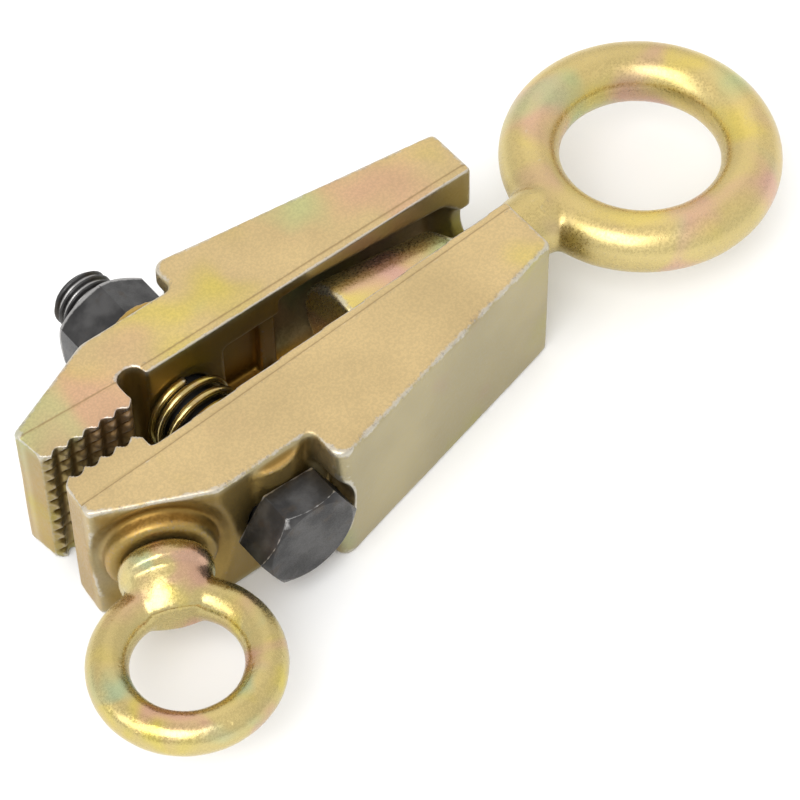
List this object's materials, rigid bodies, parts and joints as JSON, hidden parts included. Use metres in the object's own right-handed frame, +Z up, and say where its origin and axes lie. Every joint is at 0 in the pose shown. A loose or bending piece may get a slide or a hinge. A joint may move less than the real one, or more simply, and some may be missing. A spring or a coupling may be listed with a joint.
{
  "type": "frame-pulling clamp",
  "caption": "Self-tightening pulling clamp: two toothed forged jaws on a sprung cross bolt, a wedge-headed pull ring behind and a side eye on one jaw.",
  "frame": {"origin": "centre of the whole clamp's footprint, at the jaws' flat underside", "axes": "+X from the teeth towards the pull ring, +Y from the bolt's head towards its nut, +Z up from the flat underside"},
  "size_m": [0.294, 0.1554, 0.052],
  "materials": {
    "jaw_zinc": "satin yellow zinc on a forged surface",
    "ring_zinc": "satin yellow zinc with iridescent patches",
    "eye_zinc": "bright yellow zinc with iridescent patches",
    "spring_zinc": "glossy yellow zinc",
    "black_oxide": "satin black oxide"
  },
  "bodies": {
    "near_jaw": {"near_jaw": "jaw_zinc", "jaw_spring": "spring_zinc"},
    "clamp_bolt": {"clamp_bolt": "black_oxide"},
    "clamp_nut": {"clamp_nut": "black_oxide"},
    "far_jaw": {"far_jaw": "jaw_zinc"},
    "pull_ring": {"pull_ring": "ring_zinc"},
    "side_eye": {"side_eye_bolt": "eye_zinc"}
  },
  "joints": [
    {"name": "bolt_turn", "type": "hinge", "parent": "near_jaw", "child": "clamp_bolt", "pos_m": [-0.06546, 0.01111, 0.026], "axis": [0, 1, 0], "range_deg": [-1622, 632]},
    {"name": "nut_travel", "type": "slide", "parent": "near_jaw", "child": "clamp_nut", "axis": [0, 1, 0], "range_m": [-0.00438, 0.01125], "deforming": ["jaw_spring"]},
    {"name": "far_jaw_rock", "type": "hinge", "parent": "clamp_nut", "child": "far_jaw", "pos_m": [-0.06546, 0.03281, 0.026], "axis": [0, 0, 1], "range_deg": [-1.34, 1.01]},
    {"name": "ring_pull", "type": "slide", "parent": "near_jaw", "child": "pull_ring", "axis": [1, 0, 0], "range_m": [-0.008, 0.006]},
    {"name": "side_eye_turn", "type": "hinge", "parent": "near_jaw", "child": "side_eye", "pos_m": [-0.10146, -0.014, 0.026], "axis": [-0.4321, -0.9018, 0], "range_deg": [-90, 90]}
  ],
  "couplings": [
    {"joint": "bolt_turn", "follows": "nut_travel", "rad_per_m": -2513.3},
    {"joint": "far_jaw_rock", "follows": "ring_pull", "rad_per_m": 2.884}
  ]
}
